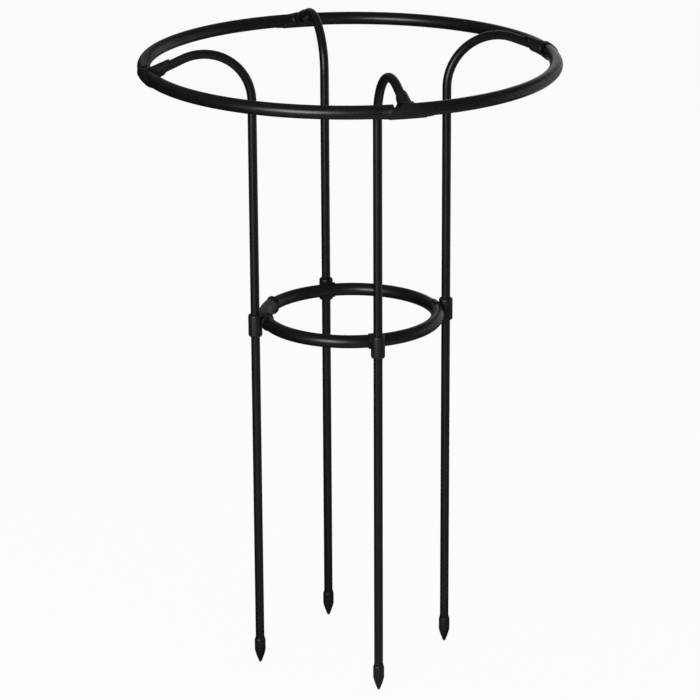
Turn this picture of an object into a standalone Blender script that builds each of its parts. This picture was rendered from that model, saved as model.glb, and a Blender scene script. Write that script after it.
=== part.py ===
"""Plant support: four stakes that carry a wide upper ring and a small lower ring.

The frame is metres, +Z up, with the origin on the ground in the middle of the four feet.
The right stake stands on +X and the back stake on +Y.
"""

import bpy
import bmesh
from math import cos, pi, radians, sin
from mathutils import Vector

# Driving dimensions of the tubes

RING_TUBE_DIAMETER = 0.016
RING_TUBE_WALL = 0.0009
STAKE_DIAMETER = 0.011
STAKE_WALL = 0.0009

# Driving dimensions of the stakes and their bent tops

STAKE_CIRCLE_RADIUS = 0.122
BEND_RADIUS = 0.061
BEND_ANGLE = radians(112.5)
STRAIGHT_BEYOND_SOCKET = 0.014

# Driving dimensions of the upper ring and its connectors

UPPER_RING_HEIGHT = 0.772
SHALLOW_END_SETBACK = 0.0165
CROSS_SLEEVE_WALL = 0.0014
CROSS_SLEEVE_HALF = 0.0225
CROSS_SLEEVE_LEAST_HALF = 0.005
MOUTH_FACING = radians(115.0)
MOUTH_SLANT = 0.030
LIP_LENGTH = 0.0075
LIP_LEAST_LENGTH = 0.0012
LIP_RAMP = 0.0012
LIP_STEP = 0.0007
WEB_HALF = 0.0012
SOCKET_TOP_REACH = 0.031
SOCKET_SLANT = 0.013
SOCKET_MOUTH_WALL = 0.0017
SOCKET_ROOT_WALL = 0.0026
SOCKET_FLOOR = 0.0018

# Driving dimensions of the lower ring and its connectors

LOWER_RING_HEIGHT = 0.453
GUIDE_WALL = 0.0028
GUIDE_LENGTH = 0.028
GUIDE_DROP = 0.0025
GUIDE_CHAMFER_LENGTH = 0.0026
GUIDE_CHAMFER_DEPTH = 0.0018
CLIP_WALL = 0.0013
CLIP_LENGTH = 0.015
CLIP_WRAP = radians(95.0)
CLIP_SEAT_DEPTH = 0.0014
JOINER_WALL = 0.0014
JOINER_LENGTH = 0.070
JOINER_CHAMFER = 0.0005

# Driving dimensions of the feet

FOOT_WALL = 0.0011
FOOT_TIP_RADIUS = 0.0012
FOOT_POINT_LENGTH = 0.0175
FOOT_POINT_SWELL = 0.35
FOOT_BARREL_LENGTH = 0.014
FOOT_SHOULDER_LENGTH = 0.003
FOOT_SHOULDER_STEP = 0.0008

# Clearances between pieces that touch

PLUG_CLEARANCE = 0.0003
GUIDE_CLEARANCE = 0.0003
END_CLEARANCE = 0.0005

# Counts of faces: a tube and its sleeve have corners on the same lines

TUBE_SIDES = 12
MOULDING_SIDES = 16
BEND_STEPS = 14
POINT_STEPS = 4
CLIP_STEPS = 12
CLIP_SPANS = 4
BORE_SPANS = 3
SEAT_SPANS = 6
JOINER_SPANS = 10
SLEEVE_END_STEP = radians(3.0)
SLEEVE_END_STEPS = 3
ARC_STEP = radians(6.2)
SHARP_ANGLE = radians(38.0)

# Sizes that follow from the driving dimensions

RING_TUBE_RADIUS = RING_TUBE_DIAMETER / 2
STAKE_RADIUS = STAKE_DIAMETER / 2
RING_BORE_RADIUS = RING_TUBE_RADIUS + PLUG_CLEARANCE
STAKE_BORE_RADIUS = STAKE_RADIUS + GUIDE_CLEARANCE
END_SLOPE = BEND_ANGLE - pi / 2
STRAIGHT_END = SOCKET_TOP_REACH + STRAIGHT_BEYOND_SOCKET
UPPER_RING_RADIUS = (STAKE_CIRCLE_RADIUS + BEND_RADIUS * (1 - cos(BEND_ANGLE))
                     + STRAIGHT_END * cos(END_SLOPE))
BEND_START_HEIGHT = (UPPER_RING_HEIGHT + STRAIGHT_END * sin(END_SLOPE)
                     - BEND_RADIUS * sin(BEND_ANGLE))
CROSS_SLEEVE_RADIUS = RING_BORE_RADIUS + CROSS_SLEEVE_WALL
SOCKET_MOUTH_RADIUS = STAKE_BORE_RADIUS + SOCKET_MOUTH_WALL
SOCKET_ROOT_RADIUS = STAKE_BORE_RADIUS + SOCKET_ROOT_WALL
SOCKET_BORE_START = CROSS_SLEEVE_RADIUS + SOCKET_FLOOR
GUIDE_RADIUS = STAKE_BORE_RADIUS + GUIDE_WALL
LOWER_RING_RADIUS = STAKE_CIRCLE_RADIUS - GUIDE_RADIUS - RING_BORE_RADIUS + CLIP_SEAT_DEPTH
CLIP_RADIUS = RING_BORE_RADIUS + CLIP_WALL
CLIP_HALF_ANGLE = CLIP_LENGTH / 2 / LOWER_RING_RADIUS
JOINER_RADIUS = RING_BORE_RADIUS + JOINER_WALL
JOINER_HALF_ANGLE = JOINER_LENGTH / 2 / LOWER_RING_RADIUS
JOINER_ANGLE = pi - CLIP_HALF_ANGLE - JOINER_HALF_ANGLE - END_CLEARANCE / LOWER_RING_RADIUS
FOOT_RADIUS = STAKE_BORE_RADIUS + FOOT_WALL
FOOT_HEIGHT = FOOT_POINT_LENGTH + FOOT_BARREL_LENGTH + FOOT_SHOULDER_LENGTH
STAKE_BOTTOM = FOOT_POINT_LENGTH + END_CLEARANCE

SIDES = {"right": 0.0, "back": pi / 2, "left": pi, "front": 3 * pi / 2}
EAST = Vector((1.0, 0.0, 0.0))
NORTH = Vector((0.0, 1.0, 0.0))
UP = Vector((0.0, 0.0, 1.0))


def clear_scene():
    for old in list(bpy.data.objects):
        bpy.data.objects.remove(old, do_unlink=True)


def material(name, colour, roughness, metallic):
    made = bpy.data.materials.new(name)
    made.use_nodes = True
    shader = made.node_tree.nodes["Principled BSDF"]
    shader.inputs["Base Color"].default_value = (*colour, 1.0)
    shader.inputs["Roughness"].default_value = roughness
    shader.inputs["Metallic"].default_value = metallic
    return made


# Mesh helpers


def loop(bm, centre, across, upward, radius, sides):
    """One round loop of vertices about centre, in the plane of across and upward."""
    turns = [2 * pi * i / sides for i in range(sides)]
    return [bm.verts.new(centre + radius * (cos(a) * across + sin(a) * upward)) for a in turns]


def skin(bm, loops):
    """Quads from each loop to the next one."""
    for near, far in zip(loops, loops[1:]):
        for i in range(len(near)):
            j = (i + 1) % len(near)
            bm.faces.new((near[i], near[j], far[j], far[i]))


def closed_skin(bm, loops):
    """A solid from stacked loops, closed with a face at the first and the last one."""
    skin(bm, loops)
    bm.faces.new(loops[0])
    bm.faces.new(loops[-1])


def turned_solid(bm, profile, sides):
    """A solid turned about the local Z axis from (radius, height) pairs."""
    closed_skin(bm, [loop(bm, height * UP, EAST, NORTH, radius, sides) for radius, height in profile])


def shade(mesh):
    """Smooth on the round faces and sharp at the edges."""
    mesh.shade_smooth()
    mesh.set_sharp_from_angle(angle=SHARP_ANGLE)
    return mesh


def mesh_from(bm, name):
    """The finished mesh, facing out."""
    bmesh.ops.recalc_face_normals(bm, faces=bm.faces[:])
    mesh = bpy.data.meshes.new(name)
    bm.to_mesh(mesh)
    bm.free()
    return shade(mesh)


def hollow_tube(bm, stations, radius, wall):
    """A tube with open ends along stations, each a centre with its two section axes."""
    outer = [loop(bm, *station, radius, TUBE_SIDES) for station in stations]
    inner = [loop(bm, *station, radius - wall, TUBE_SIDES) for station in stations]
    skin(bm, outer + inner[::-1] + [outer[0]])


def ring_station(ring_radius, angle):
    """Centre and section axes on a level ring about the origin."""
    outward = Vector((cos(angle), sin(angle), 0.0))
    return ring_radius * outward, outward, UP


# Tubes


def arc_angles(start, end):
    """Angles from start to end: fine steps by both ends, where sleeves fit, coarse between."""
    fine = [SLEEVE_END_STEP * i for i in range(SLEEVE_END_STEPS + 1)]
    middle_start = start + fine[-1]
    middle_end = end - fine[-1]
    count = max(1, round((middle_end - middle_start) / ARC_STEP))
    coarse = [middle_start + (middle_end - middle_start) * i / count for i in range(1, count)]
    return [start + f for f in fine] + coarse + [end - f for f in fine[::-1]]


def arc_tube_mesh(name, ring_radius, start, end):
    bm = bmesh.new()
    stations = [ring_station(ring_radius, angle) for angle in arc_angles(start, end)]
    hollow_tube(bm, stations, RING_TUBE_RADIUS, RING_TUBE_WALL)
    return mesh_from(bm, name)


def upper_arc_mesh():
    """A quarter of the upper ring: one end seats on its connector's web, the other stays short."""
    seated = (WEB_HALF + END_CLEARANCE) / UPPER_RING_RADIUS
    shallow = SHALLOW_END_SETBACK / UPPER_RING_RADIUS
    return arc_tube_mesh("upper_arc", UPPER_RING_RADIUS, seated, pi / 2 - shallow)


def lower_ring_mesh():
    """The whole lower ring, whose two ends face each other inside the joiner."""
    gap = END_CLEARANCE / 2 / LOWER_RING_RADIUS
    return arc_tube_mesh("lower_ring", LOWER_RING_RADIUS, JOINER_ANGLE + gap,
                         JOINER_ANGLE + 2 * pi - gap)


def stake_stations():
    """Straight up from the foot, round the bend in the XZ plane, then down to the socket."""
    stations = [(STAKE_BOTTOM * UP, EAST, -NORTH)]
    for i in range(BEND_STEPS + 1):
        turned = BEND_ANGLE * i / BEND_STEPS
        centre = (BEND_RADIUS * (1 - cos(turned)) * EAST
                  + (BEND_START_HEIGHT + BEND_RADIUS * sin(turned)) * UP)
        stations.append((centre, cos(turned) * EAST - sin(turned) * UP, -NORTH))
    run = STRAIGHT_END - SOCKET_BORE_START - END_CLEARANCE
    bend_end, across, side = stations[-1]
    stations.append((bend_end + run * (cos(END_SLOPE) * EAST - sin(END_SLOPE) * UP), across, side))
    return stations


def stake_mesh():
    bm = bmesh.new()
    hollow_tube(bm, stake_stations(), STAKE_RADIUS, STAKE_WALL)
    return mesh_from(bm, "stake")


# Feet


def foot_mesh():
    """A pointed cap: a swelling point with a blunt tip, a barrel, a shoulder and a blind bore."""
    profile = []
    for i in range(POINT_STEPS + 1):
        share = i / POINT_STEPS
        swell = (1 - FOOT_POINT_SWELL) * share + FOOT_POINT_SWELL * sin(share * pi / 2)
        radius = FOOT_TIP_RADIUS + (FOOT_RADIUS - FOOT_TIP_RADIUS) * swell
        profile.append((radius, FOOT_POINT_LENGTH * share))
    profile.append((FOOT_RADIUS, FOOT_POINT_LENGTH + FOOT_BARREL_LENGTH))
    profile.append((FOOT_RADIUS - FOOT_SHOULDER_STEP, FOOT_HEIGHT))
    profile.append((STAKE_BORE_RADIUS, FOOT_HEIGHT))
    profile.append((STAKE_BORE_RADIUS, FOOT_POINT_LENGTH))
    bm = bmesh.new()
    turned_solid(bm, profile, TUBE_SIDES)
    return mesh_from(bm, "foot")


# Mouldings, each a solid that other solids are joined to and cut from


def tool(name, bm):
    """A solid that shapes another one and is taken away afterwards."""
    made = bpy.data.objects.new(name, mesh_from(bm, name))
    bpy.context.scene.collection.objects.link(made)
    made.hide_render = True
    made.display_type = "WIRE"
    return made


def combined(name, base, added, cut):
    """The mesh of base joined to the added solids and then cut by the others."""
    for other, operation in [(t, "UNION") for t in added] + [(t, "DIFFERENCE") for t in cut]:
        step = base.modifiers.new(other.name, "BOOLEAN")
        step.object = other
        step.operation = operation
        step.solver = "EXACT"
    shaped = base.evaluated_get(bpy.context.evaluated_depsgraph_get())
    mesh = bpy.data.meshes.new_from_object(shaped)
    mesh.name = name
    for used in [base, *added, *cut]:
        bpy.data.objects.remove(used, do_unlink=True)
    return shade(mesh)


def arc_bore(name, ring_radius, origin_radius, start, end, spans):
    """A cutter of the ring tube's bore, seen from a point origin_radius from the ring's centre."""
    bm = bmesh.new()
    loops = []
    for i in range(spans + 1):
        centre, outward, upward = ring_station(ring_radius, start + (end - start) * i / spans)
        loops.append(loop(bm, centre - origin_radius * EAST, outward, upward,
                          RING_BORE_RADIUS, TUBE_SIDES))
    closed_skin(bm, loops)
    return tool(name, bm)


def mouth_reach(a):
    """Half length of the cross sleeve at section angle a, and the length of its lip there.

    Both are full underneath and cut back on the slant towards the side that MOUTH_FACING names.
    """
    cut = max(0.0, cos(a - MOUTH_FACING))
    half = max(CROSS_SLEEVE_LEAST_HALF, CROSS_SLEEVE_HALF - MOUTH_SLANT * cut)
    return half, LIP_LENGTH - (LIP_LENGTH - LIP_LEAST_LENGTH) * cut


def sleeve_loop(bm, end, distance, radius):
    """A loop of the cross sleeve, at the distance that a function of the section angle gives."""
    made = []
    for i in range(MOULDING_SIDES):
        a = 2 * pi * i / MOULDING_SIDES
        angle = end * distance(a) / UPPER_RING_RADIUS
        reach = UPPER_RING_RADIUS + radius * cos(a)
        place = (reach * cos(angle) - UPPER_RING_RADIUS) * EAST + reach * sin(angle) * NORTH
        made.append(bm.verts.new(place + radius * sin(a) * UP))
    return made


def cross_sleeve():
    """The solid of the cross sleeve, with a thinner lip at each end."""
    lip_radius = CROSS_SLEEVE_RADIUS - LIP_STEP
    half = [(lambda a: 0.0, CROSS_SLEEVE_RADIUS),
            (lambda a: (mouth_reach(a)[0] - LIP_RAMP) / 2, CROSS_SLEEVE_RADIUS),
            (lambda a: mouth_reach(a)[0] - LIP_RAMP, CROSS_SLEEVE_RADIUS),
            (lambda a: mouth_reach(a)[0], lip_radius),
            (lambda a: sum(mouth_reach(a)), lip_radius)]
    bm = bmesh.new()
    loops = [sleeve_loop(bm, -1, *place) for place in half[:0:-1]]
    loops += [sleeve_loop(bm, 1, *place) for place in half]
    closed_skin(bm, loops)
    return tool("cross_sleeve", bm)


def socket_loop(bm, distance, slant, radius, sides):
    """A loop about the stake's bent end, slanted so that its top reaches further."""
    along = sin(END_SLOPE) * UP - cos(END_SLOPE) * EAST
    above = cos(END_SLOPE) * UP + sin(END_SLOPE) * EAST
    made = []
    for i in range(sides):
        a = 2 * pi * i / sides
        centre = (distance - slant * (1 - cos(a)) / 2) * along
        made.append(bm.verts.new(centre + radius * (cos(a) * above + sin(a) * NORTH)))
    return made


def socket_solid():
    """The solid of the angled socket, from inside the cross sleeve to its slanted mouth."""
    bm = bmesh.new()
    root = socket_loop(bm, RING_BORE_RADIUS / 2, 0.0, SOCKET_ROOT_RADIUS, MOULDING_SIDES)
    neck = socket_loop(bm, CROSS_SLEEVE_RADIUS, 0.0, SOCKET_ROOT_RADIUS, MOULDING_SIDES)
    mouth = socket_loop(bm, SOCKET_TOP_REACH, SOCKET_SLANT, SOCKET_MOUTH_RADIUS, MOULDING_SIDES)
    closed_skin(bm, [root, neck, mouth])
    return tool("socket", bm)


def socket_bore():
    bm = bmesh.new()
    floor = socket_loop(bm, SOCKET_BORE_START, 0.0, STAKE_BORE_RADIUS, TUBE_SIDES)
    beyond = socket_loop(bm, STRAIGHT_END, 0.0, STAKE_BORE_RADIUS, TUBE_SIDES)
    closed_skin(bm, [floor, beyond])
    return tool("socket_bore", bm)


def upper_connector_mesh():
    """Cross sleeve and angled socket in one moulding, with a web between the arcs' ends."""
    web = WEB_HALF / UPPER_RING_RADIUS
    beyond = (CROSS_SLEEVE_HALF + LIP_LENGTH + CROSS_SLEEVE_WALL) / UPPER_RING_RADIUS
    bores = [arc_bore("bore_ahead", UPPER_RING_RADIUS, UPPER_RING_RADIUS, web, beyond, BORE_SPANS),
             arc_bore("bore_behind", UPPER_RING_RADIUS, UPPER_RING_RADIUS, -beyond, -web, BORE_SPANS)]
    return combined("upper_connector", cross_sleeve(), [socket_solid()], [*bores, socket_bore()])


def guide_sleeve():
    """The solid of the sleeve that slides on a stake, a little lower than the ring's middle."""
    top = GUIDE_LENGTH / 2 - GUIDE_DROP
    bottom = top - GUIDE_LENGTH
    rim_radius = GUIDE_RADIUS - GUIDE_CHAMFER_DEPTH
    bm = bmesh.new()
    turned_solid(bm, [(rim_radius, bottom), (GUIDE_RADIUS, bottom + GUIDE_CHAMFER_LENGTH),
                      (GUIDE_RADIUS, top - GUIDE_CHAMFER_LENGTH), (rim_radius, top)], MOULDING_SIDES)
    return tool("guide_sleeve", bm)


def guide_bore():
    bm = bmesh.new()
    turned_solid(bm, [(STAKE_BORE_RADIUS, -GUIDE_LENGTH), (STAKE_BORE_RADIUS, GUIDE_LENGTH)],
                 TUBE_SIDES)
    return tool("guide_bore", bm)


def clip_solid():
    """A C-shaped section carried along the lower ring, open towards the ring's middle."""
    turns = [CLIP_WRAP * (2 * i / CLIP_STEPS - 1) for i in range(CLIP_STEPS + 1)]
    inside = RING_BORE_RADIUS - CLIP_WALL / 2
    section = [(CLIP_RADIUS, a) for a in turns] + [(inside, a) for a in turns[::-1]]
    bm = bmesh.new()
    loops = []
    for i in range(CLIP_SPANS + 1):
        angle = CLIP_HALF_ANGLE * (2 * i / CLIP_SPANS - 1)
        centre, outward, upward = ring_station(LOWER_RING_RADIUS, angle)
        centre -= STAKE_CIRCLE_RADIUS * EAST
        loops.append([bm.verts.new(centre + radius * (cos(a) * outward + sin(a) * upward))
                      for radius, a in section])
    closed_skin(bm, loops)
    return tool("clip", bm)


def lower_connector_mesh():
    """Guide sleeve and ring clip in one moulding."""
    reach = CLIP_HALF_ANGLE + CLIP_WALL / LOWER_RING_RADIUS
    seat = arc_bore("ring_seat", LOWER_RING_RADIUS, STAKE_CIRCLE_RADIUS, -reach, reach, SEAT_SPANS)
    return combined("lower_connector", guide_sleeve(), [clip_solid()], [seat, guide_bore()])


def joiner_mesh():
    """An open sleeve over the lower ring's two ends, with softened rims."""
    rim = JOINER_CHAMFER / LOWER_RING_RADIUS
    start = JOINER_ANGLE - JOINER_HALF_ANGLE
    end = JOINER_ANGLE + JOINER_HALF_ANGLE
    inner_angles = [start + (end - start) * i / JOINER_SPANS for i in range(JOINER_SPANS + 1)]
    outer = [(start, JOINER_RADIUS - JOINER_CHAMFER), (start + rim, JOINER_RADIUS)]
    outer += [(a, JOINER_RADIUS) for a in inner_angles[1:-1]]
    outer += [(end - rim, JOINER_RADIUS), (end, JOINER_RADIUS - JOINER_CHAMFER)]
    inner = [(a, RING_BORE_RADIUS) for a in inner_angles[::-1]]
    bm = bmesh.new()
    loops = [loop(bm, *ring_station(LOWER_RING_RADIUS, a), r, TUBE_SIDES) for a, r in outer + inner]
    skin(bm, loops + [loops[0]])
    return mesh_from(bm, "joiner")


# The assembly


def piece(name, mesh, finish, parent, place=(0.0, 0.0, 0.0), turn=0.0):
    """A named sub-part with a material of its own, on a mesh that others may share."""
    made = bpy.data.objects.new(name, mesh)
    bpy.context.scene.collection.objects.link(made)
    made.parent = parent
    made.location = place
    made.rotation_euler = (0.0, 0.0, turn)
    if not mesh.materials:
        mesh.materials.append(None)
    slot = made.material_slots[0]
    slot.link = "OBJECT"
    slot.material = material(name, *finish)


def empty(name, place):
    made = bpy.data.objects.new(name, None)
    bpy.context.scene.collection.objects.link(made)
    made.location = place
    return made


def build():
    coated_steel = ((0.012, 0.012, 0.013), 0.34, 0.0)
    moulded = ((0.010, 0.010, 0.011), 0.45, 0.0)
    frame = empty("frame", (0.0, 0.0, 0.0))
    slider = empty("lower_ring_slide", LOWER_RING_HEIGHT * UP)

    arc, connector, stake = upper_arc_mesh(), upper_connector_mesh(), stake_mesh()
    foot, guide = foot_mesh(), lower_connector_mesh()
    names = list(SIDES)
    for i, (side, azimuth) in enumerate(SIDES.items()):
        outward = cos(azimuth) * EAST + sin(azimuth) * NORTH
        stake_place = STAKE_CIRCLE_RADIUS * outward
        next_side = names[(i + 1) % len(names)]
        piece(f"upper_ring_arc_{side}_{next_side}", arc, coated_steel, frame,
              UPPER_RING_HEIGHT * UP, azimuth)
        piece(f"upper_connector_{side}", connector, moulded, frame,
              UPPER_RING_RADIUS * outward + UPPER_RING_HEIGHT * UP, azimuth)
        piece(f"stake_{side}", stake, coated_steel, frame, stake_place, azimuth)
        piece(f"foot_{side}", foot, moulded, frame, stake_place, azimuth)
        piece(f"lower_connector_{side}", guide, moulded, slider, stake_place, azimuth)
    piece("lower_ring", lower_ring_mesh(), coated_steel, slider)
    piece("lower_ring_joiner", joiner_mesh(), moulded, slider)


clear_scene()
build()
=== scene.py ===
"""Finish of the plant support: coated tubes, moulded connectors and feet, stage, lights and camera.

Every piece is a surface worked out on a grid with numpy and stands for one CAD node. A piece
that the object has on each side is worked out at the right stake, on +X, and turned about the
upright axis for the others.
"""

from math import ceil, cos, pi, radians, sin

import bmesh
import bpy
import numpy as np
from mathutils import Matrix, Vector


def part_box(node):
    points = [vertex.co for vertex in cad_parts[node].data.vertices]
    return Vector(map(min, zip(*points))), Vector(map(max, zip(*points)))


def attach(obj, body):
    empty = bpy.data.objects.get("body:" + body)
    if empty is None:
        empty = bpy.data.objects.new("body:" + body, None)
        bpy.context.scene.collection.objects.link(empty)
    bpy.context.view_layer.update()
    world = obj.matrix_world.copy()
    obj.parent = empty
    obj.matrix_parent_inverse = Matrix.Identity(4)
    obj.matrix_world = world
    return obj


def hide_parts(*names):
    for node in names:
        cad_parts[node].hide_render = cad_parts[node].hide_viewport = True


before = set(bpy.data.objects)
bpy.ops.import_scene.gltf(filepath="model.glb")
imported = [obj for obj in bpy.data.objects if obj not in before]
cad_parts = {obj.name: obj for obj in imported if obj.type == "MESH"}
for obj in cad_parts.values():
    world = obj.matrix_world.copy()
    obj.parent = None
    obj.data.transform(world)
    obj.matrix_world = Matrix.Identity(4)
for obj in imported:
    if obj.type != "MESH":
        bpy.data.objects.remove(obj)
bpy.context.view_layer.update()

SIDES = {"right": 0.0, "back": pi / 2, "left": pi, "front": 3 * pi / 2}

# Sizes read from the frame

ARC_LOW, ARC_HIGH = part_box("upper_ring_arc_right_back")
STAKE_LOW, STAKE_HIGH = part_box("stake_right")
FOOT_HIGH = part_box("foot_right")[1]
LOWER_LOW, LOWER_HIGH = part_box("lower_ring")
GUIDE_LOW, GUIDE_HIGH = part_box("lower_connector_right")
SLEEVE_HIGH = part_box("upper_connector_right")[1]

RING_TUBE_RADIUS = (ARC_HIGH.z - ARC_LOW.z) / 2
UPPER_RING_HEIGHT = (ARC_HIGH.z + ARC_LOW.z) / 2
STAKE_RADIUS = (STAKE_HIGH.y - STAKE_LOW.y) / 2
STAKE_CIRCLE_RADIUS = STAKE_LOW.x + STAKE_RADIUS
STAKE_BOTTOM = STAKE_LOW.z
STAKE_APEX = STAKE_HIGH.z
FOOT_RADIUS = FOOT_HIGH.x - STAKE_CIRCLE_RADIUS
FOOT_HEIGHT = FOOT_HIGH.z
LOWER_RING_HEIGHT = (LOWER_HIGH.z + LOWER_LOW.z) / 2
GUIDE_TOP = GUIDE_HIGH.z
GUIDE_BOTTOM = GUIDE_LOW.z
GUIDE_RADIUS = GUIDE_HIGH.x - STAKE_CIRCLE_RADIUS

# Sizes that no box shows

FIT = 0.0003
END_GAP = 0.0005
RING_TUBE_WALL = 0.0009
STAKE_WALL = 0.0009
BEND_RADIUS = 0.061
BEND_ANGLE = radians(112.5)
STRAIGHT_END = 0.045
CROSS_SLEEVE_WALL = 0.0014
CROSS_SLEEVE_HALF = 0.0225
CROSS_SLEEVE_LEAST_HALF = 0.005
MOUTH_FACING = radians(115.0)
MOUTH_SLANT = 0.030
MOUTH_SOFTNESS = 0.003
LIP_LENGTH = 0.0075
LIP_LEAST_LENGTH = 0.0012
LIP_RAMP = 0.0012
LIP_STEP = 0.0007
LIP_ROUNDING = 0.0003
LIP_EDGE = 0.0003
SHORT_END = 0.0165
SEATED_END = 0.0045
WEB_HALF = 0.0012
SOCKET_TOP_REACH = 0.031
SOCKET_SLANT = 0.013
SOCKET_MOUTH_WALL = 0.0017
SOCKET_ROOT_WALL = 0.0026
SOCKET_FLOOR = 0.0018
SOCKET_ROUNDING = 0.0006
FILLET = 0.0024
LEAST_FILLET = 0.0003
LOWER_RING_RADIUS = 0.1065
GUIDE_CHAMFER_LENGTH = 0.0026
GUIDE_CHAMFER_DEPTH = 0.0018
CLIP_WALL = 0.0013
CLIP_LENGTH = 0.015
CLIP_WRAP = radians(95.0)
CLIP_ROUNDING = 0.0004
JOINER_LENGTH = 0.070
JOINER_WALL = 0.0014
JOINER_WAIST = 0.0004
JOINER_FLARE = 0.0016
JOINER_FLARE_LENGTH = 0.0045
JOINER_LEAST_CUT = 0.003
JOINER_CUT = 0.0095
JOINER_CUT_FACING = radians(210.0)
FOOT_POINT_LENGTH = 0.0175
FOOT_TIP_RADIUS = 0.0012
FOOT_POINT_SWELL = 0.35
FOOT_BARREL_LENGTH = 0.014
FOOT_SHOULDER_STEP = 0.0008
FOOT_SCUFF_HEIGHT = 0.010
# The joiner is near-black for the first of these distances from its far mouth. Beyond the second it
# is painted pale, as a painted reflection.
JOINER_DARK_END = 0.0085
JOINER_REFLECTION_START = 0.0120

# Sizes that follow

RING_BORE = RING_TUBE_RADIUS + FIT
STAKE_BORE = STAKE_RADIUS + FIT
CROSS_SLEEVE_RADIUS = RING_BORE + CROSS_SLEEVE_WALL
UPPER_RING_RADIUS = SLEEVE_HIGH.x - CROSS_SLEEVE_RADIUS
END_SLOPE = BEND_ANGLE - pi / 2
BEND_START = STAKE_APEX - STAKE_RADIUS - BEND_RADIUS
SOCKET_ROOT_RADIUS = STAKE_BORE + SOCKET_ROOT_WALL
SOCKET_MOUTH_RADIUS = STAKE_BORE + SOCKET_MOUTH_WALL
SOCKET_BORE_START = CROSS_SLEEVE_RADIUS + SOCKET_FLOOR
CLIP_HALF_ANGLE = CLIP_LENGTH / 2 / LOWER_RING_RADIUS
JOINER_HALF_ANGLE = JOINER_LENGTH / 2 / LOWER_RING_RADIUS
JOINER_ANGLE = pi - CLIP_HALF_ANGLE - JOINER_HALF_ANGLE - END_GAP / LOWER_RING_RADIUS
JOINER_RADIUS = RING_BORE + JOINER_WALL
JOINER_ROUNDING = JOINER_WALL / 3

# Fineness of the grids. The shares are of a bore: they place the rows on its flat end.

TUBE_COLUMNS = 48
MOULDING_COLUMNS = 72
CLIP_COLUMNS = 41
TUBE_STEP = 0.006
JOINER_STEP = 0.003
RIM_ROWS = 6
SLEEVE_ROWS = 7
GUIDE_SHOULDER_ROWS = 9
SEAT_ROWS = 13
FOOT_POINT_ROWS = 25
FOOT_ROW_CROWDING = 1.4
FOOT_SHOULDER_ROWS = 7
WEB_SHARES = (0.0, 0.6, 0.96)
SOCKET_FLOOR_SHARES = (0.0, 0.5, 0.95)
MERGE_DISTANCE = 1e-6
SHARP_ANGLE = radians(40.0)


# Paths: each gives, at s metres along it, the centre and the two axes of the section


def ring_path(ring_radius, height, start=0.0):
    """A level circle about the upright axis: the angle is start + s / ring_radius, the first
    section axis points outward and the second one up."""
    def path(s):
        angle = start + s / ring_radius
        zero = np.zeros_like(angle)
        outward = np.stack([np.cos(angle), np.sin(angle), zero], -1)
        upward = np.stack([zero, zero, zero + 1.0], -1)
        return ring_radius * outward + height * upward, outward, upward
    return path


def stake_path(s):
    """The right stake: straight up, round the bend by the turn t = (s - straight) / radius, then
    straight down the slope into the socket."""
    straight = BEND_START - STAKE_BOTTOM
    t = np.clip((s - straight) / BEND_RADIUS, 0.0, BEND_ANGLE)
    beyond = np.maximum(s - straight - BEND_RADIUS * BEND_ANGLE, 0.0)
    zero = np.zeros_like(t)
    x = STAKE_CIRCLE_RADIUS + BEND_RADIUS * (1 - np.cos(t)) + beyond * cos(END_SLOPE)
    z = (STAKE_BOTTOM + np.minimum(s, straight) + BEND_RADIUS * np.sin(t)
         - beyond * sin(END_SLOPE))
    across = np.stack([np.cos(t), zero, -np.sin(t)], -1)
    return np.stack([x, zero, z], -1), across, np.stack([zero, zero + 1.0, zero], -1)


def straight_path(origin, along, across):
    """A straight line from origin; the second section axis is square to both directions."""
    along, across = Vector(along).normalized(), Vector(across).normalized()
    side = np.array(along.cross(across))

    def path(s):
        ones = np.ones(np.shape(s) + (1,))
        centre = np.array(origin) + s[..., None] * np.array(along)
        return centre, ones * np.array(across), ones * side
    return path


def upright_path():
    """The right stake's upright line: s is the height above the floor."""
    return straight_path((STAKE_CIRCLE_RADIUS, 0.0, 0.0), (0, 0, 1), (1, 0, 0))


# Meshes


def section_angles(columns):
    """The section angles of one row of the grid, without the last one that meets the first."""
    return np.arange(columns)[None, :] * 2 * pi / columns


def carried(path, s, r, a):
    """Grid points at distance s along the path, at radius r and section angle a: the centre plus
    r cos a of the first axis and r sin a of the second. The straightened place comes with them."""
    s, r, a = np.broadcast_arrays(s, r, a)
    centre, across, upward = path(s)
    x, y = r * np.cos(a), r * np.sin(a)
    return centre + x[..., None] * across + y[..., None] * upward, np.stack([x, y, s], -1)


def finished(mesh):
    """The mesh with its poles and seams merged, facing out, smooth but for its sharp edges."""
    bm = bmesh.new()
    bm.from_mesh(mesh)
    bmesh.ops.remove_doubles(bm, verts=bm.verts[:], dist=MERGE_DISTANCE)
    bmesh.ops.recalc_face_normals(bm, faces=bm.faces[:])
    bm.to_mesh(mesh)
    bm.free()
    mesh.shade_smooth()
    mesh.set_sharp_from_angle(angle=SHARP_ANGLE)
    return mesh


def solid(name, grid, ends="joined"):
    """A closed mesh of quads between neighbouring grid points, whose columns go round.

    The last row is joined to the first, or both ends are poles, or both are capped with a face.
    The straightened places are kept as the attribute that the coating's pattern follows.
    """
    points, straight = grid
    rows, columns = points.shape[:2]
    index = np.arange(rows * columns).reshape(rows, columns)
    if ends == "joined":
        index = np.vstack([index, index[:1]])
    near, far = index[:-1], index[1:]
    quads = np.stack([near, np.roll(near, -1, 1), np.roll(far, -1, 1), far], -1).reshape(-1, 4)
    faces = quads.tolist()
    if ends == "capped":
        faces += [index[0].tolist(), index[-1].tolist()]
    mesh = bpy.data.meshes.new(name)
    mesh.from_pydata(points.reshape(-1, 3).tolist(), [], faces)
    kept = mesh.attributes.new("straight", "FLOAT_VECTOR", "POINT")
    kept.data.foreach_set("vector", straight.reshape(-1).astype(np.float32))
    return finished(mesh)


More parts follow.
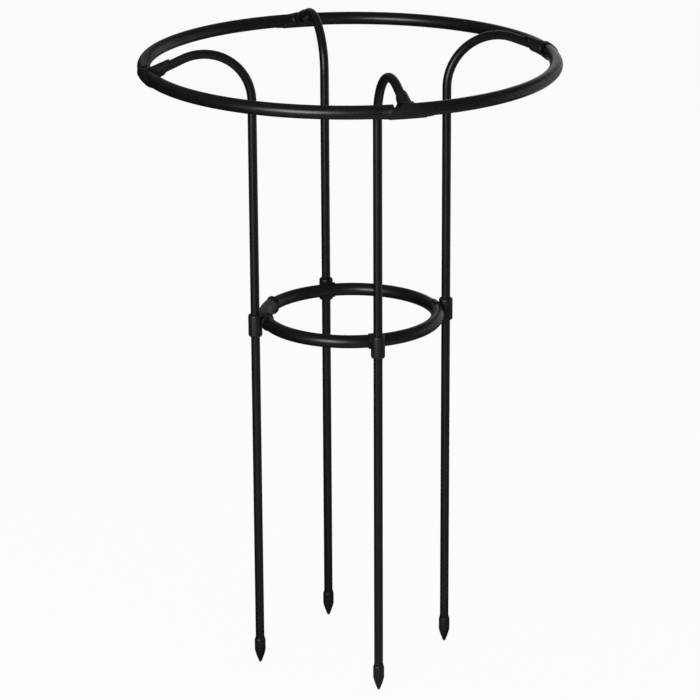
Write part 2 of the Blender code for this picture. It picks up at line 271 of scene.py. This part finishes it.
def shaped(base, added=(), cut=()):
    """One closed mesh: the added solids joined to base and the cut ones taken from it."""
    holder = bpy.data.objects.new(base.name, base)
    bpy.context.scene.collection.objects.link(holder)
    tools = []
    for mesh, operation in [(m, "UNION") for m in added] + [(m, "DIFFERENCE") for m in cut]:
        other = bpy.data.objects.new(mesh.name, mesh)
        bpy.context.scene.collection.objects.link(other)
        step = holder.modifiers.new(mesh.name, "BOOLEAN")
        step.object, step.operation, step.solver = other, operation, "EXACT"
        tools.append(other)
    result = holder.evaluated_get(bpy.context.evaluated_depsgraph_get())
    mesh = bpy.data.meshes.new_from_object(result)
    mesh.name = base.name
    for used in [holder, *tools]:
        bpy.data.objects.remove(used, do_unlink=True)
    return finished(mesh)


# Outlines: rows of distance s and radius r that close on themselves


def half_round(s, r, reach, half, outward):
    """A row set that turns from the outside of a wall to its inside: s + outward x reach x cos q
    and r + half x sin q, with q from a quarter turn to minus a quarter turn."""
    q = np.linspace(pi / 2, -pi / 2, RIM_ROWS)[:, None] * np.sign(outward)
    return s + outward * reach * np.cos(q), r + half * np.sin(q)


def wall_outline(start, end, outside, inside, rounding, step=TUBE_STEP):
    """The outline of an open sleeve's wall: the outside from start to end, a rounded rim, the
    inside back to start and the other rim."""
    count = max(2, ceil((end - start) / step))
    run = np.linspace(start + rounding, end - rounding, count)[1:-1, None]
    middle, half = (outside + inside) / 2, (outside - inside) / 2
    far_s, far_r = half_round(end - rounding, middle, rounding, half, 1)
    near_s, near_r = half_round(start + rounding, middle, rounding, half, -1)
    s = np.vstack([run, far_s, run[::-1], near_s])
    r = np.vstack([run * 0 + outside, far_r, run * 0 + inside, near_r])
    return s, r


def stacked(rows):
    """Row sets of s and r one below the other, each spread over all the columns."""
    return [np.vstack(each) for each in zip(*[np.broadcast_arrays(*row) for row in rows])]


# Tubes


def tube_mesh(name, path, length, radius, wall):
    """A coated tube with rounded cut ends."""
    s, r = wall_outline(0.0, length, radius, radius - wall, wall / 2)
    return solid(name, carried(path, s, r, section_angles(TUBE_COLUMNS)))


def upper_arc_mesh(short_end):
    """A quarter of the upper ring, from the right connector's web to short_end metres short of
    the back one's middle."""
    start = (WEB_HALF + END_GAP) / UPPER_RING_RADIUS
    length = UPPER_RING_RADIUS * (pi / 2 - start) - short_end
    path = ring_path(UPPER_RING_RADIUS, UPPER_RING_HEIGHT, start)
    return tube_mesh("upper_arc", path, length, RING_TUBE_RADIUS, RING_TUBE_WALL)


def lower_ring_mesh():
    """The whole lower ring, whose two ends meet inside the joiner."""
    path = ring_path(LOWER_RING_RADIUS, LOWER_RING_HEIGHT,
                     JOINER_ANGLE + END_GAP / 2 / LOWER_RING_RADIUS)
    length = 2 * pi * LOWER_RING_RADIUS - END_GAP
    return tube_mesh("lower_ring", path, length, RING_TUBE_RADIUS, RING_TUBE_WALL)


def stake_mesh():
    """The right stake with its bent top."""
    run = STRAIGHT_END - SOCKET_BORE_START - END_GAP
    length = BEND_START - STAKE_BOTTOM + BEND_RADIUS * BEND_ANGLE + run
    return tube_mesh("stake", stake_path, length, STAKE_RADIUS, STAKE_WALL)


# Mouldings


def mouth_reach(a):
    """Half length of the cross sleeve at section angle a, and the length of its lip there.

    The cut is the positive part of cos(a - MOUTH_FACING), made soft where it starts by adding
    MOUTH_SOFTNESS, which has no unit, under the root.
    """
    facing = np.cos(a - MOUTH_FACING)
    cut = (facing + np.sqrt(facing ** 2 + MOUTH_SOFTNESS)) / 2
    half = np.maximum(CROSS_SLEEVE_LEAST_HALF, CROSS_SLEEVE_HALF - MOUTH_SLANT * cut)
    return half, np.maximum(LIP_LEAST_LENGTH, LIP_LENGTH - (LIP_LENGTH - LIP_LEAST_LENGTH) * cut)


def cross_sleeve_mesh():
    """The sleeve over the arcs' ends, from the web out through a bore, round the slanted lip that
    thins to its edge and back along the outside, and the same mirrored for the other half."""
    a = section_angles(MOULDING_COLUMNS)
    half, lip = mouth_reach(a)
    end = half + lip - LIP_ROUNDING
    lip_radius = CROSS_SLEEVE_RADIUS - LIP_STEP
    share = np.linspace(0.0, 1.0, SLEEVE_ROWS)[:, None]
    soft = (1 - np.cos(pi * share)) / 2
    web = np.array(WEB_SHARES)[:, None] * RING_BORE
    rim_s, rim_r = half_round(end, RING_BORE + LIP_EDGE / 2, LIP_ROUNDING, LIP_EDGE / 2, 1)
    rows = [(WEB_HALF + web * 0 + end * 0, web),
            (WEB_HALF + FIT + (end - WEB_HALF - FIT) * share[:-1], RING_BORE),
            (rim_s[::-1], rim_r[::-1]),
            (half + lip / 2, (lip_radius + RING_BORE + LIP_EDGE) / 2),
            (half - LIP_RAMP * share, lip_radius + LIP_STEP * soft),
            ((half - LIP_RAMP) * (1 - share[1:]), CROSS_SLEEVE_RADIUS)]
    s, r = stacked(rows)
    s, r = np.vstack([s, -s[-2::-1]]), np.vstack([r, r[-2::-1]])
    path = ring_path(UPPER_RING_RADIUS, UPPER_RING_HEIGHT)
    return solid("cross_sleeve", carried(path, s, r, a), ends="poles")


def socket_mesh():
    """The angled socket: bore, slanted mouth, tapering outside, a fillet round its root and an end
    that lies inside the cross sleeve's wall. At section angle a the outside of the cross sleeve
    is sqrt(R^2 - (r cos a)^2) from its middle line."""
    a = section_angles(MOULDING_COLUMNS)
    mouth = SOCKET_TOP_REACH - SOCKET_SLANT * (1 - np.cos(a)) / 2 - SOCKET_ROUNDING
    fillet = LEAST_FILLET + FILLET * np.sin(a) ** 2
    meets = np.sqrt(CROSS_SLEEVE_RADIUS ** 2 - (SOCKET_ROOT_RADIUS * np.cos(a)) ** 2) - FIT / 2
    share = np.linspace(0.0, 1.0, SLEEVE_ROWS)[:, None]
    q = share * pi / 2
    floor = np.array(SOCKET_FLOOR_SHARES)[:, None] * STAKE_BORE
    rim_s, rim_r = half_round(mouth, (SOCKET_MOUTH_RADIUS + STAKE_BORE) / 2, SOCKET_ROUNDING,
                              (SOCKET_MOUTH_RADIUS - STAKE_BORE) / 2, 1)
    taper_start = meets + fillet
    buried = (RING_BORE + CROSS_SLEEVE_RADIUS) / 2
    root = (SOCKET_ROOT_RADIUS + fillet) * (1 - share)
    rows = [(SOCKET_BORE_START + floor * 0 + a * 0, floor),
            (SOCKET_BORE_START + FIT + (mouth - SOCKET_BORE_START - FIT) * share[:-1], STAKE_BORE),
            (rim_s[::-1], rim_r[::-1]),
            (mouth + (taper_start - mouth) * share[1:],
             SOCKET_MOUTH_RADIUS + (SOCKET_ROOT_RADIUS - SOCKET_MOUTH_RADIUS) * share[1:]),
            (meets + fillet * (1 - np.sin(q[1:])),
             SOCKET_ROOT_RADIUS + fillet * (1 - np.cos(q[1:]))),
            (np.sqrt(buried ** 2 - (root * np.cos(a)) ** 2), root)]
    s, r = stacked(rows)
    path = straight_path((UPPER_RING_RADIUS, 0.0, UPPER_RING_HEIGHT),
                         (-cos(END_SLOPE), 0.0, sin(END_SLOPE)),
                         (sin(END_SLOPE), 0.0, cos(END_SLOPE)))
    return solid("socket", carried(path, s, r, a), ends="poles")


def upper_connector_mesh():
    """Cross sleeve and angled socket in one moulding."""
    return shaped(cross_sleeve_mesh(), added=[socket_mesh()])


def guide_sleeve_mesh():
    """The sleeve that slides on the right stake; its shoulders are quarter ellipses."""
    rim = GUIDE_RADIUS - GUIDE_CHAMFER_DEPTH
    q = np.linspace(0.0, pi / 2, GUIDE_SHOULDER_ROWS)[:, None]
    top = GUIDE_TOP - GUIDE_CHAMFER_LENGTH * (1 - np.cos(q))
    bottom = GUIDE_BOTTOM + GUIDE_CHAMFER_LENGTH * (1 - np.cos(q))
    shoulder = rim + GUIDE_CHAMFER_DEPTH * np.sin(q)
    s = np.vstack([top, bottom[::-1], [[GUIDE_BOTTOM], [GUIDE_BOTTOM + FIT]],
                   [[GUIDE_TOP - FIT], [GUIDE_TOP]]])
    r = np.vstack([shoulder, shoulder[::-1], [[STAKE_BORE + FIT], [STAKE_BORE]],
                   [[STAKE_BORE], [STAKE_BORE + FIT]]])
    return solid("guide_sleeve", carried(upright_path(), s, r, section_angles(MOULDING_COLUMNS)))


def clip_mesh():
    """A C-shaped section carried along the lower ring, open towards the ring's middle, with the
    outside drawn in a little at both ends."""
    turn = CLIP_WRAP * np.linspace(-1.0, 1.0, CLIP_COLUMNS)
    a = np.concatenate([turn, turn[::-1]])[None, :]
    outer = np.concatenate([turn * 0 + 1.0, turn * 0])[None, :]
    half = CLIP_LENGTH / 2
    s = np.array([-half, CLIP_ROUNDING - half, -half / 3, half / 3, half - CLIP_ROUNDING, half])
    drawn = np.array([1.0, 0.0, 0.0, 0.0, 0.0, 1.0])[:, None] * CLIP_ROUNDING
    inside = RING_BORE - CLIP_WALL / 2
    r = inside + outer * (RING_BORE + CLIP_WALL - inside - drawn)
    path = ring_path(LOWER_RING_RADIUS, LOWER_RING_HEIGHT)
    return solid("clip", carried(path, s[:, None], r, a), ends="capped")


def seat_mesh():
    """The room of the lower ring's tube through the clip and the guide sleeve."""
    s = np.linspace(-CLIP_LENGTH, CLIP_LENGTH, SEAT_ROWS)[:, None]
    path = ring_path(LOWER_RING_RADIUS, LOWER_RING_HEIGHT)
    a = section_angles(TUBE_COLUMNS)
    return solid("seat", carried(path, s, RING_BORE, a), ends="capped")


def lower_connector_mesh():
    """Guide sleeve and ring clip in one moulding."""
    return shaped(guide_sleeve_mesh(), added=[clip_mesh()], cut=[seat_mesh()])


def joiner_mesh():
    """The sleeve over the lower ring's ends: slimmer in the middle and flared at its far mouth,
    both by squares of a distance. The far mouth is cut at a slant, back by the cosine of the
    section angle from the cut's facing."""
    a = section_angles(MOULDING_COLUMNS)
    s, r = wall_outline(0.0, JOINER_LENGTH, JOINER_RADIUS, RING_BORE, JOINER_ROUNDING, JOINER_STEP)
    outside = (r - RING_BORE) / JOINER_WALL
    middle = 2 * s / JOINER_LENGTH - 1
    flare = np.clip((JOINER_FLARE_LENGTH - s) / JOINER_FLARE_LENGTH, 0.0, 1.0) ** 2
    r = r - JOINER_WAIST * outside * (1 - middle ** 2) + JOINER_FLARE * flare
    cut = JOINER_LEAST_CUT + JOINER_CUT * (1 + np.cos(a - JOINER_CUT_FACING)) / 2
    slanted = s + cut * (1 - s / JOINER_LENGTH)
    path = ring_path(LOWER_RING_RADIUS, LOWER_RING_HEIGHT, JOINER_ANGLE - JOINER_HALF_ANGLE)
    points, straight = carried(path, slanted, r, a)
    straight[..., 2] = s
    return solid("joiner", (points, straight))


def foot_mesh():
    """A pointed cap turned about the right stake's line: the point's radius swells with the share
    of its height plus a sine of it, and its tip is rounded by a quarter ellipse."""
    share = np.linspace(0.0, 1.0, FOOT_POINT_ROWS)[:, None]
    swell = (1 - FOOT_POINT_SWELL) * share + FOOT_POINT_SWELL * np.sin(share * pi / 2)
    height = FOOT_POINT_LENGTH * share ** FOOT_ROW_CROWDING
    swell = np.interp(height, FOOT_POINT_LENGTH * share[:, 0], swell[:, 0])
    blunt = np.sqrt(1 - (1 - np.minimum(height / FOOT_TIP_RADIUS, 1.0)) ** 2)
    point = blunt * (FOOT_TIP_RADIUS + (FOOT_RADIUS - FOOT_TIP_RADIUS) * swell)
    barrel = FOOT_POINT_LENGTH + FOOT_BARREL_LENGTH
    q = np.linspace(0.0, pi / 2, FOOT_SHOULDER_ROWS)[:, None]
    collar = FOOT_RADIUS - FOOT_SHOULDER_STEP
    rim = (collar - STAKE_BORE) / 2
    z = np.vstack([height, [[barrel - FIT]],
                   barrel + (FOOT_HEIGHT - rim - barrel) * (1 - np.cos(q)),
                   [[FOOT_HEIGHT], [FOOT_HEIGHT - rim], [FOOT_POINT_LENGTH + FIT],
                    [FOOT_POINT_LENGTH], [FOOT_POINT_LENGTH]]])
    r = np.vstack([point, [[FOOT_RADIUS]],
                   FOOT_RADIUS - FOOT_SHOULDER_STEP * np.sin(q),
                   [[collar - rim], [STAKE_BORE], [STAKE_BORE], [STAKE_BORE - FIT], [0.0]]])
    a = section_angles(TUBE_COLUMNS)
    return solid("foot", carried(upright_path(), z, r, a), ends="poles")


# Finishes. Colours are linear, heights are in metres, and the scuffs' numbers are the largest
# share of the pale colour that shows.

COATING_DARK = (0.0030, 0.0030, 0.0034)
COATING_LIGHT = (0.0056, 0.0055, 0.0058)
COATING_SCUFF = (0.045, 0.043, 0.041)
RING_SCUFFS = 0.5
STAKE_SCUFFS = 0.9
CONNECTOR_DARK = (0.0042, 0.0042, 0.0046)
CONNECTOR_LIGHT = (0.0072, 0.0071, 0.0073)
# The joiner's two pale greys are a painted reflection of the room along its side; the third colour
# is the near-black of its far mouth.
JOINER_REFLECTION_DARK = (0.0270, 0.0270, 0.0252)
JOINER_REFLECTION_LIGHT = (0.0350, 0.0350, 0.0325)
JOINER_MOUTH = (0.0030, 0.0030, 0.0032)
FOOT_DARK = (0.0042, 0.0042, 0.0045)
FOOT_LIGHT = (0.0072, 0.0070, 0.0070)
FOOT_SCUFF = (0.050, 0.046, 0.042)
DUST = (0.030, 0.028, 0.026)
GLOSS = 0.5
COATING_ROUGHNESS = (0.29, 0.39)
PLASTIC_ROUGHNESS = (0.38, 0.50)
FOOT_ROUGHNESS = (0.42, 0.52)
RIPPLE_HEIGHT = 0.00003
MARK_HEIGHT = 0.00005
GRAIN_HEIGHT = 0.00003


class Finish:
    """A node material, with short calls for the nodes that the finishes here share."""

    def __init__(self, name, specular=GLOSS):
        self.material = bpy.data.materials.new(name)
        self.material.use_nodes = True
        self.tree = self.material.node_tree
        self.shader = self.tree.nodes["Principled BSDF"]
        self.shader.inputs["Specular IOR Level"].default_value = specular

    def node(self, kind, **settings):
        """A new node of a kind, with its settings."""
        made = self.tree.nodes.new(kind)
        for name, value in settings.items():
            setattr(made, name, value)
        return made

    def feed(self, socket, value):
        """A link for a socket's output, or else the socket's own value."""
        if isinstance(value, bpy.types.NodeSocket):
            self.tree.links.new(value, socket)
        else:
            socket.default_value = value

    def places(self, attribute=None):
        """Object coordinates, or the straightened places of a tube."""
        if attribute:
            return self.node("ShaderNodeAttribute", attribute_name=attribute).outputs["Vector"]
        return self.node("ShaderNodeTexCoord").outputs["Object"]

    def noise(self, places, scale, detail=2.0, roughness=0.5):
        """Noise with scale cells to the metre, along each axis."""
        mapping = self.node("ShaderNodeMapping")
        self.feed(mapping.inputs["Vector"], places)
        mapping.inputs["Scale"].default_value = scale
        made = self.node("ShaderNodeTexNoise")
        self.feed(made.inputs["Vector"], mapping.outputs["Vector"])
        self.feed(made.inputs["Scale"], 1.0)
        self.feed(made.inputs["Detail"], detail)
        self.feed(made.inputs["Roughness"], roughness)
        return made.outputs["Fac"]

    def ranged(self, value, low, high, to_low=0.0, to_high=1.0):
        """The value carried from one range to another one, and clamped."""
        made = self.node("ShaderNodeMapRange")
        for name, number in zip(("Value", "From Min", "From Max", "To Min", "To Max"),
                                (value, low, high, to_low, to_high)):
            self.feed(made.inputs[name], number)
        return made.outputs["Result"]

    def times(self, first, second):
        """The product of two values."""
        made = self.node("ShaderNodeMath", operation="MULTIPLY")
        self.feed(made.inputs[0], first)
        self.feed(made.inputs[1], second)
        return made.outputs["Value"]

    def blend(self, share, first, second):
        """A colour between two others. The node has sockets for every kind of value, so the ones
        for colours are picked by their type."""
        made = self.node("ShaderNodeMix", data_type="RGBA")
        self.feed(made.inputs["Factor"], share)
        sockets = [socket for socket in made.inputs if socket.type == "RGBA"]
        for socket, colour in zip(sockets, (first, second)):
            self.feed(socket, (*colour, 1.0) if isinstance(colour, tuple) else colour)
        return next(socket for socket in made.outputs if socket.type == "RGBA")

    def bump(self, height, distance, normal=None):
        """A surface that rises by distance where height is one."""
        made = self.node("ShaderNodeBump")
        made.inputs["Distance"].default_value = distance
        self.feed(made.inputs["Height"], height)
        if normal:
            self.feed(made.inputs["Normal"], normal)
        return made.outputs["Normal"]


def tube_coating(name, scuffs):
    """Black coating on steel tube: faint marks drawn along the tube, the coating's fine ripple,
    cloudy gloss and a few pale scuffs."""
    made = Finish(name)
    places = made.places("straight")
    drawn = made.noise(places, (420.0, 420.0, 7.0), detail=3.0, roughness=0.6)
    cloud = made.noise(places, (38.0, 38.0, 11.0))
    ripple = made.noise(places, (620.0, 620.0, 430.0))
    rubs = made.noise(places, (900.0, 900.0, 90.0), detail=4.0, roughness=0.65)
    scuff = made.times(made.ranged(rubs, 0.66, 0.78),
                       made.ranged(cloud, 0.45, 0.62, to_high=scuffs))
    colour = made.blend(cloud, COATING_DARK, COATING_LIGHT)
    made.feed(made.shader.inputs["Base Color"], made.blend(scuff, colour, COATING_SCUFF))
    made.feed(made.shader.inputs["Roughness"], made.ranged(drawn, 0.3, 0.7, *COATING_ROUGHNESS))
    rippled = made.bump(ripple, RIPPLE_HEIGHT)
    made.feed(made.shader.inputs["Normal"], made.bump(drawn, MARK_HEIGHT, rippled))
    return made.material


def moulded_plastic(name, dark, light, roughness=PLASTIC_ROUGHNESS):
    """Black moulded plastic: an even fine grain, cloudy gloss and the dust that stays in it."""
    made = Finish(name)
    places = made.places()
    grain = made.noise(places, (1500.0, 1500.0, 1500.0), detail=3.0, roughness=0.6)
    cloud = made.noise(places, (70.0, 70.0, 70.0), detail=3.0)
    specks = made.noise(places, (330.0, 330.0, 330.0), detail=4.0, roughness=0.7)
    dust = made.ranged(specks, 0.60, 0.80, to_high=0.35)
    colour = made.blend(cloud, dark, light)
    made.feed(made.shader.inputs["Base Color"], made.blend(dust, colour, DUST))
    made.feed(made.shader.inputs["Roughness"], made.ranged(cloud, 0.3, 0.7, *roughness))
    made.feed(made.shader.inputs["Normal"], made.bump(grain, GRAIN_HEIGHT))
    return made


def joiner_plastic_painted_reflection():
    """The moulded plastic with a painted reflection: painted pale along its body, and near-black at
    its far mouth.
    """
    made = moulded_plastic("joiner_plastic_painted_reflection", JOINER_REFLECTION_DARK, JOINER_REFLECTION_LIGHT)
    split = made.node("ShaderNodeSeparateXYZ")
    made.feed(split.inputs["Vector"], made.places("straight"))
    # Painted reflection: none at the far mouth, all of it along the body.
    bent = made.ranged(split.outputs["Z"], JOINER_DARK_END, JOINER_REFLECTION_START)
    pale = made.shader.inputs["Base Color"].links[0].from_socket
    made.feed(made.shader.inputs["Base Color"], made.blend(bent, JOINER_MOUTH, pale))
    return made.material


def foot_plastic():
    """The moulded plastic with its point scuffed, the more the nearer to the tip."""
    made = moulded_plastic("foot_plastic", FOOT_DARK, FOOT_LIGHT, FOOT_ROUGHNESS)
    places = made.places()
    split = made.node("ShaderNodeSeparateXYZ")
    made.feed(split.inputs["Vector"], places)
    low = made.ranged(split.outputs["Z"], FOOT_SCUFF_HEIGHT, 0.0)
    rubs = made.noise(places, (900.0, 900.0, 260.0), detail=4.0, roughness=0.7)
    marks = made.ranged(rubs, 0.50, 0.72)
    plain = made.shader.inputs["Base Color"].links[0].from_socket
    made.feed(made.shader.inputs["Base Color"],
              made.blend(made.times(low, marks), plain, FOOT_SCUFF))
    return made.material


# Stage, lights and camera. The camera is the photograph's, fitted to the edges of the tubes: its
# lens and its frame are in pixels of the photo, places are in metres and turns in radians.

LENS_PIXELS = 3100.62
FRAME_PIXELS = 700
SENSOR = 36.0
CAMERA_BACK = 3.64901
CAMERA_HEIGHT = 1.62594
CAMERA_PITCH = 0.322396
CAMERA_YAW = -0.000488
CAMERA_ROLL = -0.005145
CAMERA_AZIMUTH = -0.264280
CAMERA_TURN = Matrix.Rotation(CAMERA_AZIMUTH, 4, "Z")


def camera():
    """The photograph's viewpoint: fifteen degrees to the left of the front stake, looking down."""
    data = bpy.data.cameras.new("camera")
    data.sensor_width = SENSOR
    data.lens = SENSOR * LENS_PIXELS / FRAME_PIXELS
    data.clip_end = 100.0
    ahead = Vector((sin(CAMERA_YAW) * cos(CAMERA_PITCH), cos(CAMERA_YAW) * cos(CAMERA_PITCH),
                    -sin(CAMERA_PITCH)))
    level = Vector((cos(CAMERA_YAW), -sin(CAMERA_YAW), 0.0))
    above = level.cross(ahead)
    across = cos(CAMERA_ROLL) * level + sin(CAMERA_ROLL) * above
    upward = cos(CAMERA_ROLL) * above - sin(CAMERA_ROLL) * level
    placed = Matrix((across, upward, -ahead)).transposed().to_4x4()
    placed.translation = (0.0, -CAMERA_BACK, CAMERA_HEIGHT)
    made = bpy.data.objects.new("camera", data)
    bpy.context.scene.collection.objects.link(made)
    made.matrix_world = CAMERA_TURN @ placed
    bpy.context.scene.camera = made


# The stage, in metres. The white share is how much of the floor's look is plain white.

RING_MIDDLE = Vector((0.0, 0.0, UPPER_RING_HEIGHT))
WHITE_SHARE = 0.94
FLOOR_GREY = (0.90, 0.90, 0.90, 1.0)
ROOM_GREY = (0.09, 0.09, 0.09, 1.0)
FLOOR_INNER_RINGS = (0.0, 1.0, 4.0)
FLOOR_FLAT_RADIUS = 11.0
FLOOR_COVE_RADIUS = 1.0
FLOOR_RIM_HEIGHT = 2.6
FLOOR_COLUMNS = 96
COVE_ROWS = 9
FELT_COLUMNS = 33
FELT_LIFT = 0.002
FRONT_NEAR_EDGE = 1.1
BACK_NEAR_EDGE = 1.3
FAR_EDGE = 3.2
FELT_RISE = 1.9

# Each felt: its two sides in degrees round from the camera to its right, its edges and its rise
# in metres, and its colour. The greys are chosen so that the coating mirrors about as much light
# on each side as it does in the photo.

FELTS = {
    "left_felt": (-160.0, -56.0, 0.0, FAR_EDGE, FELT_RISE, (0.02, 0.018, 0.016)),
    "near_front_left_felt": (-56.0, 4.0, 0.0, FRONT_NEAR_EDGE, 0.0, (0.27, 0.27, 0.27)),
    "near_front_right_felt": (4.0, 84.0, 0.0, FRONT_NEAR_EDGE, 0.0, (0.38, 0.38, 0.38)),
    "front_left_felt": (-56.0, 4.0, FRONT_NEAR_EDGE, FAR_EDGE, FELT_RISE, (0.15, 0.15, 0.15)),
    "front_right_felt": (4.0, 84.0, FRONT_NEAR_EDGE, FAR_EDGE, FELT_RISE, (0.21, 0.21, 0.21)),
    "near_back_felt": (84.0, 200.0, 0.0, BACK_NEAR_EDGE, 0.0, (0.12, 0.12, 0.12)),
    "right_felt": (84.0, 152.0, BACK_NEAR_EDGE, FAR_EDGE, FELT_RISE, (0.78, 0.78, 0.78)),
    "back_felt": (152.0, 174.0, BACK_NEAR_EDGE, FAR_EDGE, FELT_RISE, (0.10, 0.10, 0.10)),
    "corner_felt": (174.0, 200.0, BACK_NEAR_EDGE, FAR_EDGE, FELT_RISE, (0.36, 0.31, 0.29)),
}


def around(azimuth, elevation, distance):
    """A place seen from the ring's middle, at a distance in metres: the azimuth, in degrees, goes
    round from the camera's side to its right, and the elevation rises above the level."""
    a, e = radians(azimuth), radians(elevation)
    way = Vector((sin(a) * cos(e), -cos(a) * cos(e), sin(e)))
    return CAMERA_TURN @ (distance * way) + RING_MIDDLE


def soft_panel(name, place, aim, size, brightness, tint=(1.0, 1.0, 1.0), spread=180.0):
    """A panel lamp at a place, turned to its aim, of brightness watts to the square metre and
    steradian. A spread of less than 180 degrees gathers its light about that direction."""
    data = bpy.data.lights.new(name, "AREA")
    data.shape = "RECTANGLE"
    data.size, data.size_y = size
    data.energy = brightness * pi * size[0] * size[1]
    data.color = tint
    data.spread = radians(spread)
    made = bpy.data.objects.new(name, data)
    bpy.context.scene.collection.objects.link(made)
    made.location = place
    made.rotation_euler = (place - aim).to_track_quat("Z", "Y").to_euler()
    made.visible_camera = False
    return made


def floor_paint():
    """Pale floor paint: most of what the camera and reflections see is plain white, and the rest
    is the paint under the lamps, with the object's shadow."""
    made = Finish("floor_paint", specular=0.0)
    made.feed(made.shader.inputs["Base Color"], FLOOR_GREY)
    made.feed(made.shader.inputs["Roughness"], 1.0)
    light = made.node("ShaderNodeLightPath")
    seen = made.node("ShaderNodeMath", operation="MAXIMUM")
    made.feed(seen.inputs[0], light.outputs["Is Camera Ray"])
    made.feed(seen.inputs[1], light.outputs["Is Glossy Ray"])
    any_seen = made.node("ShaderNodeMath", operation="MAXIMUM")
    made.feed(any_seen.inputs[0], seen.outputs["Value"])
    made.feed(any_seen.inputs[1], light.outputs["Is Transmission Ray"])
    white = made.node("ShaderNodeEmission")
    mix = made.node("ShaderNodeMixShader")
    made.feed(mix.inputs["Fac"], made.times(any_seen.outputs["Value"], WHITE_SHARE))
    made.feed(mix.inputs[1], made.shader.outputs["BSDF"])
    made.feed(mix.inputs[2], white.outputs["Emission"])
    made.feed(made.tree.nodes["Material Output"].inputs["Surface"], mix.outputs["Shader"])
    return made.material


def staged(name, points, material, joined=True):
    """A stage surface from a grid of points, with its middle and its folded rows merged."""
    rows, columns = points.shape[:2]
    index = np.arange(rows * columns).reshape(rows, columns)
    if joined:
        index = np.hstack([index, index[:, :1]])
    quads = np.stack([index[:-1, :-1], index[:-1, 1:], index[1:, 1:], index[1:, :-1]], -1)
    mesh = bpy.data.meshes.new(name)
    mesh.from_pydata(points.reshape(-1, 3).tolist(), [], quads.reshape(-1, 4).tolist())
    mesh.materials.append(material)
    made = bpy.data.objects.new(name, finished(mesh))
    bpy.context.scene.collection.objects.link(made)
    return made


def felt(name, start, end, near, far, rise, colour):
    """A sector of felt on the floor, out of the camera's sight, that runs from near to far metres
    out and turns up there by rise: the coating mirrors it, and it takes no part in the light."""
    made = Finish(name, specular=0.0)
    made.feed(made.shader.inputs["Base Color"], (*colour, 1.0))
    made.feed(made.shader.inputs["Roughness"], 1.0)
    r = np.array([near, (near + far) / 2, far, far])[:, None]
    z = FELT_LIFT + np.array([0.0, 0.0, 0.0, rise])[:, None]
    turn = np.radians(np.linspace(start, end, FELT_COLUMNS))[None, :]
    points = np.stack(np.broadcast_arrays(r * np.sin(turn), -r * np.cos(turn), z + turn * 0), -1)
    sector = staged(name, points @ np.array(CAMERA_TURN.to_3x3()).T, made.material, joined=False)
    sector.visible_camera = sector.visible_diffuse = sector.visible_shadow = False


def studio():
    """A round pale floor that turns up into a low wall, felts for the coating to mirror, the
    panel lamps and the dim room."""
    q = np.linspace(0.0, pi / 2, COVE_ROWS)
    r = np.concatenate([FLOOR_INNER_RINGS, FLOOR_FLAT_RADIUS + FLOOR_COVE_RADIUS * np.sin(q),
                        [FLOOR_FLAT_RADIUS + FLOOR_COVE_RADIUS]])
    z = np.concatenate([np.zeros(len(FLOOR_INNER_RINGS)), FLOOR_COVE_RADIUS * (1.0 - np.cos(q)),
                        [FLOOR_RIM_HEIGHT]])
    a = np.arange(FLOOR_COLUMNS) * 2 * pi / FLOOR_COLUMNS
    ring = np.stack([np.cos(a), np.sin(a), a * 0], -1)
    floor = r[:, None, None] * ring + z[:, None, None] * np.array([0.0, 0.0, 1.0])
    staged("floor", floor, floor_paint())

    for name, sheet in FELTS.items():
        felt(name, *sheet)

    soft_panel("left_panel", around(azimuth=-26.0, elevation=7.0, distance=2.9), RING_MIDDLE,
               size=(1.20, 1.15), brightness=14.3, tint=(0.92, 0.96, 1.0))
    right_end = around(azimuth=90.0, elevation=0.0, distance=UPPER_RING_RADIUS)
    soft_panel("right_panel", around(azimuth=156.9, elevation=0.0, distance=0.815), right_end,
               size=(0.44, 0.90), brightness=0.115, spread=70.0)
    top = soft_panel("top_panel", around(azimuth=0.0, elevation=89.9, distance=3.6), RING_MIDDLE,
                     size=(5.0, 5.0), brightness=1.4)
    top.visible_glossy = False

    world = bpy.data.worlds.new("room")
    world.use_nodes = True
    world.node_tree.nodes["Background"].inputs["Color"].default_value = ROOM_GREY
    bpy.context.scene.world = world
    bpy.context.scene.view_settings.view_transform = "Standard"


# The object's pieces


def piece(name, mesh, node, body, finish, azimuth=0.0):
    """A finished piece that stands for a CAD node and rides on its body."""
    placed = mesh.copy()
    placed.transform(Matrix.Rotation(azimuth, 4, "Z"))
    placed.materials.clear()
    placed.materials.append(finish)
    made = bpy.data.objects.new(name, placed)
    bpy.context.scene.collection.objects.link(made)
    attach(made, body)
    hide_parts(node)


def plant_support():
    """Every piece of the object, on the body that carries it."""
    ring_coating = tube_coating("ring_coating", RING_SCUFFS)
    stake_coating = tube_coating("stake_coating", STAKE_SCUFFS)
    plastic = moulded_plastic("connector_plastic", CONNECTOR_DARK, CONNECTOR_LIGHT).material
    foot_finish = foot_plastic()
    short_arc, seated_arc = upper_arc_mesh(SHORT_END), upper_arc_mesh(SEATED_END)
    connector, stake = upper_connector_mesh(), stake_mesh()
    foot, guide = foot_mesh(), lower_connector_mesh()
    names = list(SIDES)
    for i, (side, azimuth) in enumerate(SIDES.items()):
        span = f"{side}_{names[(i + 1) % len(names)]}"
        arc = seated_arc if side == "front" else short_arc
        piece(f"upper_arc_{span}", arc, f"upper_ring_arc_{span}", "frame",
              ring_coating, azimuth)
        piece(f"top_moulding_{side}", connector, f"upper_connector_{side}", "frame",
              plastic, azimuth)
        piece(f"bent_stake_{side}", stake, f"stake_{side}", "frame",
              stake_coating, azimuth)
        piece(f"foot_cap_{side}", foot, f"foot_{side}", "frame", foot_finish,
              azimuth)
        piece(f"guide_moulding_{side}", guide, f"lower_connector_{side}", "lower_ring_group",
              plastic, azimuth)
    piece("small_ring", lower_ring_mesh(), "lower_ring", "lower_ring_group",
          ring_coating)
    piece("small_ring_sleeve", joiner_mesh(), "lower_ring_joiner", "lower_ring_group",
          joiner_plastic_painted_reflection())


plant_support()
studio()
camera()

bpy.context.view_layer.update()
